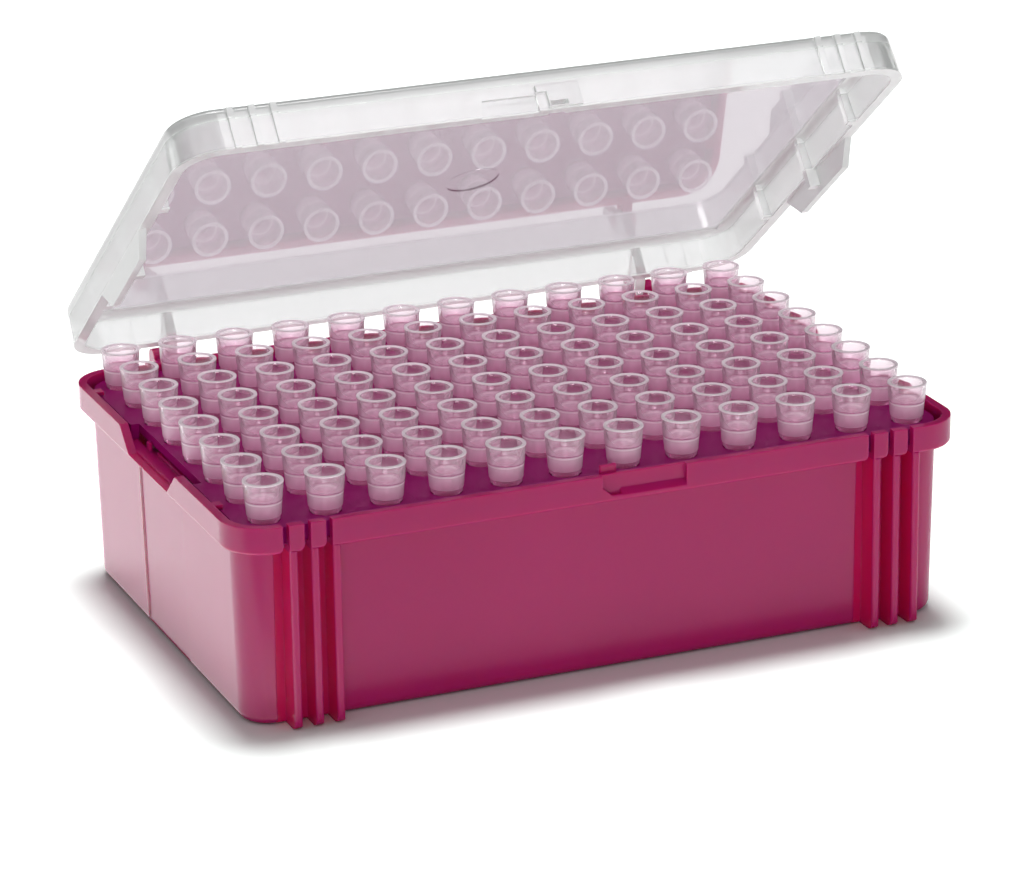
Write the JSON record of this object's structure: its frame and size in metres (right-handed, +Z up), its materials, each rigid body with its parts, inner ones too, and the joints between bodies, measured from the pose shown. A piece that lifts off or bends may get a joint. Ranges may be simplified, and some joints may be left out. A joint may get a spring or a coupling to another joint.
{
  "type": "pipette tip box",
  "caption": "Hinged box of small pipette tips: magenta tub, perforated deck, tips standing on a square grid and a half-open clear lid.",
  "frame": {"origin": "middle of the flat underside of the box", "axes": "+X along the twelve columns of tips to the viewer's right, +Y towards the hinge so the latch faces -Y, +Z up"},
  "size_m": [0.112, 0.0807, 0.0842],
  "materials": {
    "magenta_shell": "fine satin translucent polypropylene",
    "magenta_deck": "smooth moulded polypropylene",
    "frosted_clear": "clear polypropylene with a light frost",
    "natural_tip": "natural translucent polypropylene"
  },
  "bodies": {
    "base": {"base": "magenta_shell", "tip_deck": "magenta_deck", "tips_column_01": "natural_tip", "tips_column_02": "natural_tip", "tips_column_03": "natural_tip", "tips_column_04": "natural_tip", "tips_column_05": "natural_tip", "tips_column_06": "natural_tip", "tips_column_07": "natural_tip", "tips_column_08": "natural_tip", "tips_column_09": "natural_tip", "tips_column_10": "natural_tip", "tips_column_11": "natural_tip", "tips_column_12": "natural_tip"},
    "lid": {"lid": "frosted_clear"}
  },
  "joints": [
    {"name": "lid_hinge", "type": "hinge", "parent": "base", "child": "lid", "pos_m": [0, 0.0411, 0.03005], "axis": [-1, 0, 0], "range_deg": [-38.2, 66.8]}
  ]
}
